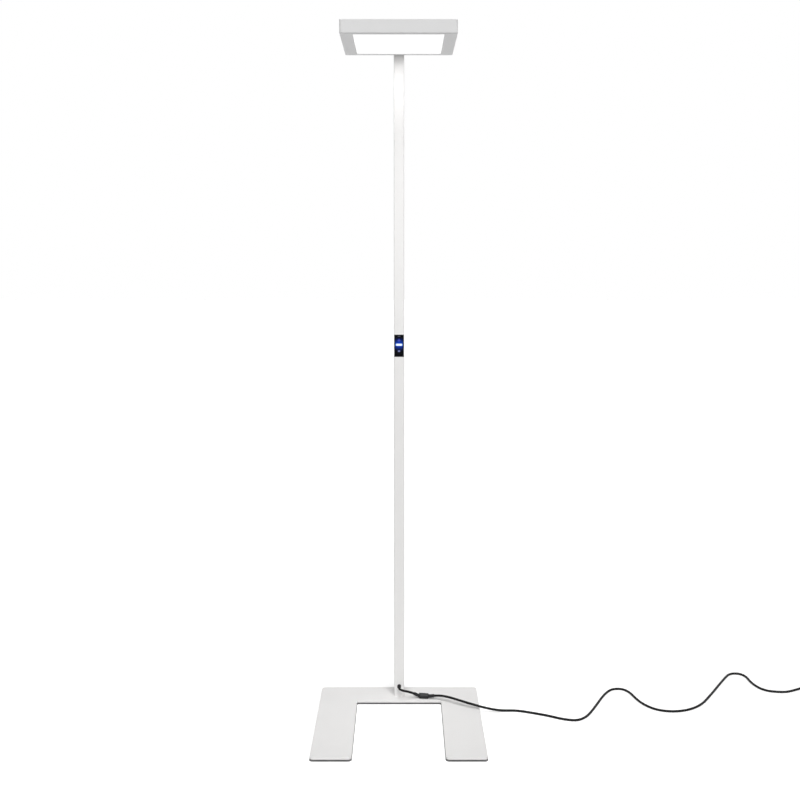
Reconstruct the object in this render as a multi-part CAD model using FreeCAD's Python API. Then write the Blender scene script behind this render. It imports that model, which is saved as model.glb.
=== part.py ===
"""LED floor lamp: a U-shaped base plate, a two-piece square stem with a control
unit between its halves, a flat square head, and a cord with an in-line coupler.

Millimetres, +Z up. The origin is on the floor under the middle of the base plate,
and the lamp faces -Y: the stem stands at the back of the base, and the head
reaches forward from the stem's front face.
"""

import FreeCAD
import Part

import math
import os

from FreeCAD import Vector


# How near two places count as the same, and the share of a run that its bend takes
same_place = 1e-6
bend_share = 0.45

# Base plate and its glide pads
base_width = 480.0
base_depth = 475.0
plate_thickness = 6.0
leg_width = 113.0
crossbar_depth = 105.0
outer_corner_radius = 10.0
notch_corner_radius = 3.0
plate_edge_break = 0.5
pad_diameter = 30.0
pad_thickness = 5.0
pad_inset = 26.0

# Stem tubes
stem_side = 30.0
stem_wall = 2.0
stem_corner_radius = 3.0
stem_forward = 5.0
lower_stem_length = 1040.5
insert_clearance = 0.3
cap_flange_thickness = 3.0
cap_flange_break = 0.8
cap_plug_depth = 7.0

# Foot block inside the lower stem, and what fastens it
foot_block_height = 24.0
foot_screw_spacing = 13.0
foot_screw_engagement = 14.0
foot_block_screw_height = 12.0

# Joiner through the control unit
joiner_wall = 2.0
joiner_insertion = 70.0
joiner_screw_offsets = (20.0, 50.0)

# Control unit
module_height = 66.0
housing_wall = 1.5
face_side_margin = 0.7
face_end_margin = 1.5
face_gap = 0.2
key_width = 18.0
key_height = 15.0
key_offset = 16.0
key_proud = 0.3
key_gap = 0.2
key_lip_width = 1.2
key_lip_thickness = 0.8
key_lip_gap = 0.2
key_edge_break = 0.3
bar_width = 20.0
bar_height = 6.0
bar_offset = 3.0
slot_width = 9.0
slot_height = 1.4
slot_offset = 28.7
lens_gap = 0.1
lens_lip_width = 0.6
lens_lip_thickness = 1.0
light_pipe_margin = 0.4
board_setback = 6.7
board_width = 20.0
board_length = 61.0
board_thickness = 1.6
board_hole_x = 6.5
board_hole_z = 24.5
board_screw_length = 5.0
spacer_bore_spare = 1.0
spacer_radius = 2.5
switch_side = 6.0
switch_height = 3.5
switch_floor = 0.5
plunger_radius = 1.75
plunger_gap = 0.1
plunger_length = 4.2
chip_width = 3.0
chip_height = 1.4
chip_thickness = 0.8
chip_pitch = 6.0
chip_count = 3
connector_width = 8.0
connector_height = 8.0
connector_offset = 14.0
connector_cover = 1.5

# Head shell
head_width = 308.0
head_depth = 308.0
head_height = 36.0
head_underside = 1923.0
head_wall = 2.0
head_corner_radius = 6.0
head_edge_radius = 3.0
window_side_border = 34.5
window_end_border = 15.0
spacer_plate_thickness = 3.0
spacer_plate_margin = 2.0

# Optical stack in the head
sheet_lip = 6.0
diffuser_thickness = 2.0
guide_thickness = 4.0
reflector_thickness = 0.5
back_plate_thickness = 1.5
led_gap = 0.3
led_side = 2.8
led_height = 0.8
led_pitch = 10.0
strip_thickness = 1.2
strip_end_gap = 2.0
strip_floor_gap = 0.5
rail_leg_width = 5.0
rail_foot_thickness = 2.5
rail_wall_gap = 5.2
rail_end_gap = 4.0
stud_height = 8.0
stud_pitch = 112.0
nut_across_flats = 5.5
nut_height = 2.4
plate_screw_pitch = 118.0
plate_screw_bite = 4.0
fixings_per_rail = 3

# Top cover of the head
cover_thickness = 1.5
cover_gap = 0.3
post_radius = 4.0
post_inset = 9.0
post_bore_depth = 8.0
cover_screw_bite = 6.5
vent_count = 9
vent_width = 4.0
vent_corner_radius = 1.9
vent_length = 36.0
vent_pitch = 16.0

# Driver and terminals in the head
driver_length = 180.0
driver_width = 42.0
driver_height = 20.0
driver_corner_radius = 2.0
driver_offset_x = -10.0
driver_ear = 9.0
driver_ear_thickness = 2.0
driver_setback = 84.0
terminal_width = 24.0
terminal_depth = 20.0
terminal_height = 16.0
terminal_edge_radius = 1.0
terminal_screw_depth = 3.0
terminal_setback = 24.0
link_radius = 1.8
link_spacing = 12.0
led_lead_radius = 0.55
led_lead_bend = 6.0
lead_hole_gap = 0.6

# Head mounting
head_screw_spacing_x = 16.0
head_screw_spacing_z = 13.0
head_lead_drop = 14.0
backing_width = 40.0
backing_height = 22.0
backing_thickness = 3.0
block_front_wall = 6.0
block_side_wall = 3.0
block_height = 24.0
head_screw_engagement = 5.7
grommet_wall = 0.8
grommet_flange = 1.0

# Screws: shank radius, head radius and head height
m25_shank = 1.25
m25_head = 2.25
m25_head_height = 1.6
m3_shank = 1.5
m3_head = 2.75
m3_head_height = 2.0
m3_sunk_head = 3.0
m4_shank = 2.0
m4_head = 3.5
m4_head_height = 4.0
m4_sunk_head = 3.75
m5_shank = 2.5
m5_sunk_head = 5.0
hole_clearance = 0.2
thread_clearance = 0.05
socket_depth_share = 0.6

# Leads inside the stem
lead_diameter = 5.0
lead_setback = 2.0
foot_lead_straight = 0.5
head_lead_bend = 12.0

# Cord outside the lamp
cord_diameter = 7.0
gland_height = 42.5
gland_flange_width = 11.2
gland_flange_height = 13.8
gland_flange_corner = 5.0
gland_flange_thickness = 2.0
gland_nose_radius = 4.8
gland_tip_radius = 4.3
gland_nose_length = 4.0
gland_body_radius = 4.5
gland_body_length = 6.0
gland_barb = 0.6
gland_rim_round = 0.9
coupler_diameter = 16.0
coupler_chamfer = 4.0
boot_root_radius = 5.2
boot_tip_radius = 4.3
boot_collar_length = 3.0
boot_ring_count = 3
boot_ring_rise = 0.3
boot_ring_width = 1.4
boot_tip_ring_rise = 0.8
boot_tip_ring_width = 2.0
latch_length = 15.0
latch_width = 5.0
latch_thickness = 1.2
latch_gap = 0.1
coil_outer_radius = 47.0
coil_pitch = 9.2
coil_layer_height = 7.6
coil_half_turns_in = 5
coil_half_turns_out = 4
gap_point_spacing = 1.0
gap_skip_diameters = 3
tie_thickness = 0.8
tie_width = 10.0
tie_gap = 0.3
tie_side_gap = 0.9
tie_corner_radius = 1.2
plug_length = 36.0
plug_width = 34.0
plug_height = 14.0
plug_nose_width = 16.0
plug_taper_length = 12.0
plug_relief_length = 22.0
plug_relief_radius = 5.0
plug_relief_tip_radius = 4.2
plug_round = 2.5
plug_axis_z = plug_height / 2
pin_radius = 2.0
pin_tip_radius = 1.2
pin_length = 19.0
pin_spacing = 19.0

# Heights and lines that several pieces share
plate_top = pad_thickness + plate_thickness
stem_y = base_depth / 2 - crossbar_depth / 2 - stem_forward
stem_front = stem_y - stem_side / 2
stem_back = stem_y + stem_side / 2
stem_bore = stem_side - 2 * stem_wall
stem_bore_radius = stem_corner_radius - stem_wall
insert_side = stem_bore - 2 * insert_clearance
insert_corner_radius = stem_bore_radius + insert_clearance
insert_front = stem_y - insert_side / 2
insert_back = stem_y + insert_side / 2
module_bottom = plate_top + lower_stem_length
module_top = module_bottom + module_height
module_z = (module_bottom + module_top) / 2
head_top = head_underside + head_height
stem_top = head_top - cap_flange_thickness
housing_cavity = insert_side + 2 * insert_clearance
housing_side = housing_cavity + 2 * housing_wall
housing_front = stem_y - housing_side / 2
face_width = insert_side - 2 * face_side_margin
face_height = module_height - 2 * face_end_margin
board_front = insert_front + board_setback
board_back = board_front + board_thickness
joiner_floor = insert_back - joiner_wall
lead_y = stem_y + lead_setback
lead_radius = lead_diameter / 2
cord_radius = cord_diameter / 2

head_back = stem_front - spacer_plate_thickness
head_front = head_back - head_depth
head_mid_y = (head_back + head_front) / 2
shell_floor = head_underside + head_wall
head_lead_z = head_top - head_lead_drop
window_width = head_width - 2 * window_side_border
window_front = head_front + window_end_border
window_back = head_back - window_end_border
sheet_width = window_width + 2 * sheet_lip
sheet_front = window_front - sheet_lip
sheet_back = window_back + sheet_lip
guide_bottom = shell_floor + diffuser_thickness
guide_top = guide_bottom + guide_thickness
reflector_top = guide_top + reflector_thickness
back_plate_top = reflector_top + back_plate_thickness
led_inner_x = sheet_width / 2 + led_gap
strip_inner_x = led_inner_x + led_height
rail_inner_x = strip_inner_x + strip_thickness
rail_outer_x = rail_inner_x + rail_leg_width
rail_foot_x = head_width / 2 - head_wall - rail_wall_gap
post_x = head_width / 2 - post_inset
post_front_y = head_front + post_inset
post_back_y = head_back - post_inset
rail_length = post_back_y - post_front_y - 2 * (post_radius + rail_end_gap)
strip_length = rail_length - 2 * strip_end_gap
cover_bottom = head_top - cover_thickness
driver_y = head_back - driver_setback - driver_width / 2
terminal_back = head_back - terminal_setback
backing_front = head_back - head_wall - backing_thickness


# Small shape helpers

def block(x, y, z):
    """Return a box between the low and high values of each axis."""
    size = (x[1] - x[0], y[1] - y[0], z[1] - z[0])
    return Part.makeBox(*size, Vector(x[0], y[0], z[0]))


def centred_block(centre_x, centre_y, width, depth, z):
    """Return a box centred on a vertical line."""
    return block((centre_x - width / 2, centre_x + width / 2),
                 (centre_y - depth / 2, centre_y + depth / 2), z)


def edges_along(shape, axis):
    """Return the straight edges of a shape that run along an axis."""
    found = []
    for edge in shape.Edges:
        if len(edge.Vertexes) != 2:
            continue
        run = edge.Vertexes[1].Point - edge.Vertexes[0].Point
        if run.Length > 0 and abs(abs(run.dot(axis)) - run.Length) < same_place:
            found.append(edge)
    return found


def edges_at_height(shape, height):
    """Return the edges of a shape that lie at one height."""
    return [edge for edge in shape.Edges
            if abs(edge.BoundBox.ZMin - height) < same_place
            and abs(edge.BoundBox.ZMax - height) < same_place]


def rounded(shape, radius, axis=Vector(0, 0, 1)):
    """Round the edges of a box that run along an axis."""
    if radius <= 0:
        return shape
    return shape.makeFillet(radius, edges_along(shape, axis))


def rod(start, direction, radius, length):
    """Return a cylinder from a point along a direction."""
    return Part.makeCylinder(radius, length, start, direction)


def taper(start, direction, start_radius, end_radius, length):
    """Return a cone frustum from a point along a direction."""
    return Part.makeCone(start_radius, end_radius, length, start, direction)


def hexagon(start, direction, across_flats, length):
    """Return a hexagonal prism from a point along a direction."""
    corner = across_flats / 2 / math.cos(math.pi / 6)
    points = [Vector(corner * math.cos(step * math.pi / 3), corner * math.sin(step * math.pi / 3), 0)
              for step in range(7)]
    prism = Part.Face(Part.makePolygon(points)).extrude(Vector(0, 0, length))
    return aimed(prism, start, direction)


def aimed(shape, position, direction):
    """Turn a shape's +Z to a direction and move its origin to a position."""
    turn = FreeCAD.Rotation(Vector(0, 0, 1), direction)
    result = shape.copy()
    result.Placement = FreeCAD.Placement(position, turn)
    return result


def sunk_screw(position, direction, shank, head, length):
    """Return a countersunk screw whose flat head lies at the position."""
    cone = taper(Vector(0, 0, 0), Vector(0, 0, 1), head, shank, head - shank)
    screw = cone.fuse(rod(Vector(0, 0, 0), Vector(0, 0, 1), shank, length))
    socket = hexagon(Vector(0, 0, 0), Vector(0, 0, 1), shank * 1.2, (head - shank) * socket_depth_share)
    return aimed(screw.cut(socket).removeSplitter(), position, direction)


def sunk_hole(position, direction, shank, head, length, clearance=hole_clearance):
    """Return the cutting shape for a countersunk screw."""
    cone = taper(position, direction, head + clearance, shank + clearance, head - shank)
    return cone.fuse(rod(position, direction, shank + clearance, length))


def cap_screw(position, direction, shank, head, head_height, length):
    """Return a socket-head screw whose head seats at the position."""
    cap = rod(Vector(0, 0, -head_height), Vector(0, 0, 1), head, head_height)
    screw = cap.fuse(rod(Vector(0, 0, 0), Vector(0, 0, 1), shank, length))
    socket = hexagon(Vector(0, 0, -head_height), Vector(0, 0, 1), shank * 1.5,
                     head_height * socket_depth_share)
    return aimed(screw.cut(socket).removeSplitter(), position, direction)


def group(shapes):
    """Return several solids as one compound."""
    return Part.makeCompound(list(shapes))


# Base

def pad_places():
    """Return the pad centres: two under each leg's end, two at the back corners, one between."""
    side = base_width / 2 - pad_inset
    inner = base_width / 2 - leg_width + pad_inset
    front = -base_depth / 2 + pad_inset
    back = base_depth / 2 - pad_inset
    return [(-side, front), (-inner, front), (inner, front), (side, front),
            (-side, back), (0.0, back), (side, back)]


def foot_screw_places():
    """Return the four foot screws' centres round the stem's axis."""
    half = foot_screw_spacing / 2
    return [(x, stem_y + y) for x in (-half, half) for y in (-half, half)]


def make_base():
    """Make the base plate, its pads and the screws that hold the stem."""
    plate = rounded(centred_block(0, 0, base_width, base_depth, (pad_thickness, plate_top)),
                    outer_corner_radius)
    notch_half = base_width / 2 - leg_width
    notch = block((-notch_half, notch_half),
                  (-base_depth / 2 - outer_corner_radius, base_depth / 2 - crossbar_depth),
                  (pad_thickness, plate_top))
    back_edges = [edge for edge in edges_along(notch, Vector(0, 0, 1))
                  if edge.BoundBox.YMin > 0]
    plate = plate.cut(notch.makeFillet(notch_corner_radius, back_edges))
    front_edges = [edge for edge in edges_along(plate, Vector(0, 0, 1))
                   if abs(abs(edge.BoundBox.XMin) - notch_half) < same_place
                   and abs(edge.BoundBox.YMin + base_depth / 2) < same_place]
    plate = plate.makeFillet(outer_corner_radius, front_edges)
    rims = edges_at_height(plate, plate_top) + edges_at_height(plate, pad_thickness)
    plate = plate.makeChamfer(plate_edge_break, rims)
    for x, y in foot_screw_places():
        plate = plate.cut(sunk_hole(Vector(x, y, pad_thickness), Vector(0, 0, 1),
                                    m5_shank, m5_sunk_head, plate_thickness))
    pads = [rod(Vector(x, y, 0), Vector(0, 0, 1), pad_diameter / 2, pad_thickness)
            for x, y in pad_places()]
    screws = [sunk_screw(Vector(x, y, pad_thickness), Vector(0, 0, 1), m5_shank, m5_sunk_head,
                         plate_thickness + foot_screw_engagement)
              for x, y in foot_screw_places()]
    return {"base_plate": plate, "glide_pads": group(pads), "foot_screws": group(screws)}


# Stem

def stem_tube(bottom, top):
    """Return a length of the square stem tube."""
    outside = rounded(centred_block(0, stem_y, stem_side, stem_side, (bottom, top)),
                      stem_corner_radius)
    inside = rounded(centred_block(0, stem_y, stem_bore, stem_bore, (bottom, top)),
                     stem_bore_radius)
    return outside.cut(inside)


def joiner_screw_heights():
    """Return the heights of the screws through the stem's back into the joiner."""
    below = [module_bottom - offset for offset in joiner_screw_offsets]
    above = [module_top + offset for offset in joiner_screw_offsets]
    return below, above


def back_hole(height):
    """Return the countersunk hole for a screw through the stem's back wall."""
    return sunk_hole(Vector(0, stem_back, height), Vector(0, -1, 0), m4_shank, m4_sunk_head, stem_wall)


def back_tap(height, depth):
    """Return the tapped hole for that screw in what lies inside the stem."""
    return rod(Vector(0, insert_back, height), Vector(0, -1, 0), m4_shank + thread_clearance, depth)


def head_screw_places():
    """Return the four screws' centres round the lead where the head meets the stem."""
    half_x = head_screw_spacing_x / 2
    half_z = head_screw_spacing_z / 2
    return [(x, head_lead_z + z) for x in (-half_x, half_x) for z in (-half_z, half_z)]


def lead_passage(start_y, end_y):
    """Return the round passage of the lead from the stem into the head."""
    return rod(Vector(0, start_y, head_lead_z), Vector(0, 1, 0),
               lead_radius + grommet_wall + hole_clearance, end_y - start_y)


def make_stem():
    """Make the two stem tubes, the blocks and joiner inside them, and the cap."""
    below, above = joiner_screw_heights()
    foot_screw_z = plate_top + foot_block_screw_height
    lower = stem_tube(plate_top, module_bottom)
    lower = lower.cut(rod(Vector(0, stem_front, gland_height), Vector(0, 1, 0),
                          gland_body_radius + hole_clearance, stem_wall))
    for height in [foot_screw_z] + below:
        lower = lower.cut(back_hole(height))

    upper = stem_tube(module_top, stem_top)
    for height in above:
        upper = upper.cut(back_hole(height))
    upper = upper.cut(lead_passage(stem_front, stem_front + stem_wall))
    for x, z in head_screw_places():
        upper = upper.cut(rod(Vector(x, stem_front, z), Vector(0, 1, 0),
                              m4_shank + hole_clearance, stem_wall))

    foot = rounded(centred_block(0, stem_y, insert_side, insert_side,
                                 (plate_top, plate_top + foot_block_height)), insert_corner_radius)
    for x, y in foot_screw_places():
        foot = foot.cut(rod(Vector(x, y, plate_top), Vector(0, 0, 1),
                            m5_shank + thread_clearance, foot_screw_engagement + hole_clearance))
    foot_screw_depth = insert_side / 2
    foot = foot.cut(back_tap(foot_screw_z, foot_screw_depth))

    joiner_z = (module_bottom - joiner_insertion, module_top + joiner_insertion)
    joiner = rounded(centred_block(0, stem_y, insert_side, insert_side, joiner_z),
                     insert_corner_radius)
    channel_half = insert_side / 2 - joiner_wall
    joiner = joiner.cut(block((-channel_half, channel_half), (insert_front, joiner_floor), joiner_z))
    for height in below + above:
        joiner = joiner.cut(back_tap(height, joiner_wall))
    for x, z in board_hole_places():
        joiner = joiner.cut(rod(Vector(x, joiner_floor, z), Vector(0, 1, 0),
                                m25_shank + thread_clearance, joiner_wall))

    sunk = stem_wall + insert_clearance
    screws = [sunk_screw(Vector(0, stem_back, foot_screw_z), Vector(0, -1, 0), m4_shank,
                         m4_sunk_head, sunk + foot_screw_depth - hole_clearance)]
    screws += [sunk_screw(Vector(0, stem_back, height), Vector(0, -1, 0), m4_shank,
                          m4_sunk_head, sunk + joiner_wall)
               for height in below + above]

    cap = rounded(centred_block(0, stem_y, stem_side, stem_side, (stem_top, head_top)),
                  stem_corner_radius)
    cap = cap.makeChamfer(cap_flange_break, edges_at_height(cap, head_top))
    plug_half = insert_side / 2 - block_side_wall - insert_clearance
    plug = block((-plug_half, plug_half),
                 (insert_front + block_front_wall + insert_clearance, insert_back),
                 (stem_top - cap_plug_depth, stem_top))
    return {"lower_stem": lower, "upper_stem": upper, "foot_block": foot,
            "stem_joiner": joiner, "stem_screws": group(screws), "stem_cap": cap.fuse(plug)}


# Control unit

def board_hole_places():
    """Return the four screws' centres of the control board."""
    return [(x, module_z + z) for x in (-board_hole_x, board_hole_x)
            for z in (-board_hole_z, board_hole_z)]


def upright(centre_z, width, height, y):
    """Return a box centred on the stem's axis in x and on a height in z."""
    return block((-width / 2, width / 2), y, (centre_z - height / 2, centre_z + height / 2))


def make_lens(centre_z, width, height):
    """Return a window lens: its face, a lip behind the face plate and a light pipe."""
    lip_back = insert_front + lens_lip_thickness
    face = upright(centre_z, width, height, (housing_front, insert_front))
    lip = upright(centre_z, min(width + 2 * lens_lip_width, insert_side - 2 * joiner_wall - face_gap),
                  height + 2 * lens_lip_width, (insert_front, lip_back))
    pipe = upright(centre_z, width - 2 * light_pipe_margin, height - 2 * light_pipe_margin,
                   (lip_back, board_front - chip_thickness))
    return face.fuse([lip, pipe]).removeSplitter()


def make_key(centre_z):
    """Return a push key: its cap, and the lip that the face plate retains."""
    front = housing_front - key_proud
    lip_front = insert_front + key_lip_gap
    cap = upright(centre_z, key_width, key_height, (front, lip_front))
    front_edges = [edge for edge in cap.Edges if edge.BoundBox.YMax < front + same_place]
    cap = cap.makeChamfer(key_edge_break, front_edges)
    lip = upright(centre_z, key_width + 2 * key_lip_width, key_height + 2 * key_lip_width,
                  (lip_front, lip_front + key_lip_thickness))
    return cap.fuse(lip).removeSplitter()


def make_control_unit():
    """Make the black unit between the stem's halves, with its two keys and its board."""
    housing = rounded(centred_block(0, stem_y, housing_side, housing_side,
                                    (module_bottom, module_top)), stem_corner_radius)
    housing = housing.cut(rounded(centred_block(0, stem_y, housing_cavity, housing_cavity,
                                                (module_bottom, module_top)),
                                  insert_corner_radius))
    housing = housing.cut(upright(module_z, face_width + 2 * face_gap, face_height + 2 * face_gap,
                                  (housing_front - 1, insert_front)))

    face = upright(module_z, face_width, face_height, (housing_front, insert_front))
    for sign in (-1, 1):
        face = face.cut(upright(module_z + sign * key_offset, key_width + 2 * key_gap,
                                key_height + 2 * key_gap, (housing_front - 1, insert_front + 1)))
    for offset, width, height in ((bar_offset, bar_width, bar_height),
                                  (slot_offset, slot_width, slot_height)):
        face = face.cut(upright(module_z + offset, width + 2 * lens_gap, height + 2 * lens_gap,
                                (housing_front - 1, insert_front + 1)))

    board = upright(module_z, board_width, board_length, (board_front, board_back))
    spacers = []
    screws = []
    for x, z in board_hole_places():
        board = board.cut(rod(Vector(x, board_front, z), Vector(0, 1, 0),
                              m25_shank + hole_clearance, board_thickness))
        post = rod(Vector(x, board_back, z), Vector(0, 1, 0), spacer_radius,
                   joiner_floor - board_back)
        bore_depth = board_screw_length - board_thickness + spacer_bore_spare
        post = post.cut(rod(Vector(x, board_back, z), Vector(0, 1, 0),
                            m25_shank + thread_clearance, bore_depth))
        spigot = rod(Vector(x, joiner_floor, z), Vector(0, 1, 0), m25_shank, joiner_wall)
        spacers.append(post.fuse(spigot).removeSplitter())
        screws.append(cap_screw(Vector(x, board_front, z), Vector(0, 1, 0), m25_shank,
                                m25_head, m25_head_height, board_screw_length))

    switches = []
    plungers = {}
    key_back = insert_front + key_lip_gap + key_lip_thickness
    for name, sign in (("up", 1), ("down", -1)):
        z = module_z + sign * key_offset
        body = upright(z, switch_side, switch_side, (board_front - switch_height, board_front))
        bore = rod(Vector(0, board_front - switch_height, z), Vector(0, 1, 0),
                   plunger_radius + plunger_gap, switch_height - switch_floor)
        switches.append(body.cut(bore))
        plungers["plunger_" + name] = rod(Vector(0, key_back, z), Vector(0, 1, 0),
                                          plunger_radius, plunger_length)
        plungers["key_" + name] = make_key(z)

    chips = [upright(module_z + bar_offset, chip_width, chip_height,
                     (board_front - chip_thickness, board_front)).translated(
                         Vector((index - (chip_count - 1) / 2) * chip_pitch, 0, 0))
             for index in range(chip_count)]
    chips.append(upright(module_z + slot_offset, chip_width, slot_height,
                         (board_front - chip_thickness, board_front)))

    connector_back = lead_y + lead_radius + connector_cover
    connectors = [upright(module_z + sign * connector_offset, connector_width, connector_height,
                          (board_back, connector_back)) for sign in (-1, 1)]
    pieces = {"control_housing": housing, "control_face": face,
              "light_bar": make_lens(module_z + bar_offset, bar_width, bar_height),
              "sensor_lens": make_lens(module_z + slot_offset, slot_width, slot_height),
              "control_board": board, "board_spacers": group(spacers),
              "board_screws": group(screws), "key_switches": group(switches),
              "board_chips": group(chips), "board_connectors": group(connectors)}
    pieces.update(plungers)
    return pieces


# Head

def make_shell():
    """Return the head's tray: walls, the underside's border and the window in it."""
    outside = block((-head_width / 2, head_width / 2), (head_front, head_back),
                    (head_underside, head_top))
    outside = rounded(outside, head_corner_radius)
    outside = outside.makeFillet(head_edge_radius, edges_at_height(outside, head_underside))
    inside = block((-head_width / 2 + head_wall, head_width / 2 - head_wall),
                   (head_front + head_wall, head_back - head_wall), (shell_floor, head_top))
    inside = rounded(inside, head_corner_radius - head_wall)
    inside = inside.makeFillet(head_edge_radius - head_wall, edges_at_height(inside, shell_floor))
    shell = outside.cut(inside)
    shell = shell.cut(block((-window_width / 2, window_width / 2), (window_front, window_back),
                            (head_underside - 1, shell_floor + 1)))
    shell = shell.cut(lead_passage(head_back - head_wall, head_back))
    for x, z in head_screw_places():
        shell = shell.cut(rod(Vector(x, head_back - head_wall, z), Vector(0, 1, 0),
                              m4_shank + hole_clearance, head_wall))
    return shell


def sheet(bottom, thickness):
    """Return one sheet of the optical stack."""
    return block((-sheet_width / 2, sheet_width / 2), (sheet_front, sheet_back),
                 (bottom, bottom + thickness))


def along_head(count, pitch):
    """Return evenly spaced positions along the head's depth, about its middle."""
    return [head_mid_y + (index - (count - 1) / 2) * pitch for index in range(count)]


def make_light_source():
    """Make the stack of sheets and the two edge-lighting strips beside it."""
    led_count = int(strip_length / led_pitch)
    led_z = guide_bottom + guide_thickness / 2
    rail_y = (head_mid_y - rail_length / 2, head_mid_y + rail_length / 2)
    strip_y = (head_mid_y - strip_length / 2, head_mid_y + strip_length / 2)
    stud_x = (rail_outer_x + rail_foot_x) / 2
    screw_x = rail_inner_x + rail_leg_width / 2

    strips = []
    leds = []
    rails = []
    studs = []
    nuts = []
    plate_screws = []
    plate = block((-rail_outer_x, rail_outer_x), (sheet_front, window_back),
                  (reflector_top, back_plate_top))
    for sign in (-1, 1):
        def side(low, high, sign=sign):
            return tuple(sorted((sign * low, sign * high)))
        strips.append(block(side(strip_inner_x, rail_inner_x), strip_y,
                            (shell_floor + strip_floor_gap, guide_top)))
        for y in along_head(led_count, led_pitch):
            leds.append(block(side(led_inner_x, strip_inner_x), (y - led_side / 2, y + led_side / 2),
                              (led_z - led_side / 2, led_z + led_side / 2)))
        rail = block(side(rail_inner_x, rail_outer_x), rail_y, (shell_floor, reflector_top))
        rail = rail.fuse(block(side(rail_outer_x, rail_foot_x), rail_y,
                               (shell_floor, shell_floor + rail_foot_thickness)))
        rail = rail.removeSplitter()
        for y in along_head(fixings_per_rail, stud_pitch):
            rail = rail.cut(rod(Vector(sign * stud_x, y, shell_floor), Vector(0, 0, 1),
                                m3_shank + hole_clearance, rail_foot_thickness))
            studs.append(rod(Vector(sign * stud_x, y, shell_floor), Vector(0, 0, 1),
                             m3_shank, stud_height))
            nut = hexagon(Vector(sign * stud_x, y, shell_floor + rail_foot_thickness),
                          Vector(0, 0, 1), nut_across_flats, nut_height)
            nuts.append(nut.cut(rod(Vector(sign * stud_x, y, shell_floor), Vector(0, 0, 1),
                                    m3_shank + thread_clearance, stud_height)))
        for y in along_head(fixings_per_rail, plate_screw_pitch):
            top = Vector(sign * screw_x, y, back_plate_top)
            reach = back_plate_thickness + plate_screw_bite
            plate = plate.cut(rod(top, Vector(0, 0, -1), m25_shank + hole_clearance,
                                  back_plate_thickness))
            rail = rail.cut(rod(top, Vector(0, 0, -1), m25_shank + thread_clearance, reach))
            plate_screws.append(cap_screw(top, Vector(0, 0, -1), m25_shank, m25_head,
                                          m25_head_height, reach))
        plate = plate.cut(rod(Vector(sign * led_lead_x(), driver_y, reflector_top), Vector(0, 0, 1),
                              led_lead_radius + lead_hole_gap, back_plate_thickness))
        rails.append(rail)
    for x, y in driver_screw_places():
        plate = plate.cut(rod(Vector(x, y, reflector_top), Vector(0, 0, 1),
                              m3_shank + thread_clearance, back_plate_thickness))
    return {"diffuser": sheet(shell_floor, diffuser_thickness),
            "light_guide": sheet(guide_bottom, guide_thickness),
            "reflector_sheet": sheet(guide_top, reflector_thickness),
            "led_strips": group(strips), "led_chips": group(leds), "led_rails": group(rails),
            "rail_studs": group(studs), "rail_nuts": group(nuts),
            "back_plate": plate, "plate_screws": group(plate_screws)}


def led_lead_x():
    """Return how far from the middle the leads reach the LED strips."""
    return strip_inner_x + strip_thickness / 2


def driver_screw_places():
    """Return the driver's two screws' centres, one in each ear."""
    reach = driver_length / 2 + driver_ear / 2
    return [(driver_offset_x - reach, driver_y + driver_width / 4),
            (driver_offset_x + reach, driver_y + driver_width / 4)]


def make_electrics():
    """Make the driver, the terminal block and the leads inside the head."""
    driver_x = (driver_offset_x - driver_length / 2, driver_offset_x + driver_length / 2)
    driver_span = (driver_y - driver_width / 2, driver_y + driver_width / 2)
    driver = rounded(block(driver_x, driver_span,
                           (back_plate_top, back_plate_top + driver_height)),
                     driver_corner_radius)
    ears = block((driver_x[0] - driver_ear, driver_x[1] + driver_ear), (driver_y, driver_span[1]),
                 (back_plate_top, back_plate_top + driver_ear_thickness))
    driver = driver.fuse(ears).removeSplitter()
    screws = []
    for x, y in driver_screw_places():
        seat = Vector(x, y, back_plate_top + driver_ear_thickness)
        driver = driver.cut(rod(seat, Vector(0, 0, -1), m3_shank + hole_clearance,
                                driver_ear_thickness))
        screws.append(cap_screw(seat, Vector(0, 0, -1), m3_shank, m3_head, m3_head_height,
                                driver_ear_thickness + back_plate_thickness))

    terminal = block((-terminal_width / 2, terminal_width / 2),
                     (terminal_back - terminal_depth, terminal_back),
                     (back_plate_top, back_plate_top + terminal_height))
    terminal = rounded(terminal, terminal_edge_radius, Vector(0, 1, 0))
    for x in (-link_spacing / 2, link_spacing / 2):
        terminal = terminal.cut(rod(Vector(x, terminal_back - terminal_depth / 2,
                                           back_plate_top + terminal_height), Vector(0, 0, -1),
                                    m25_head, terminal_screw_depth))
    link_z = back_plate_top + terminal_height / 2
    links = [rod(Vector(x, driver_span[1], link_z), Vector(0, 1, 0), link_radius,
                 terminal_back - terminal_depth - driver_span[1])
             for x in (-link_spacing / 2, link_spacing / 2)]

    leads = []
    for sign in (-1, 1):
        start_x = driver_offset_x + sign * driver_length / 2
        end_x = sign * led_lead_x()
        points = [Vector(start_x, driver_y, link_z), Vector(end_x, driver_y, link_z),
                  Vector(end_x, driver_y, guide_top)]
        leads.append(route_tube(points, led_lead_radius, fixed_radius=led_lead_bend)[0])
    return {"driver": driver, "driver_screws": group(screws), "terminal_block": terminal,
            "driver_links": group(links), "led_leads": group(leads)}


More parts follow.
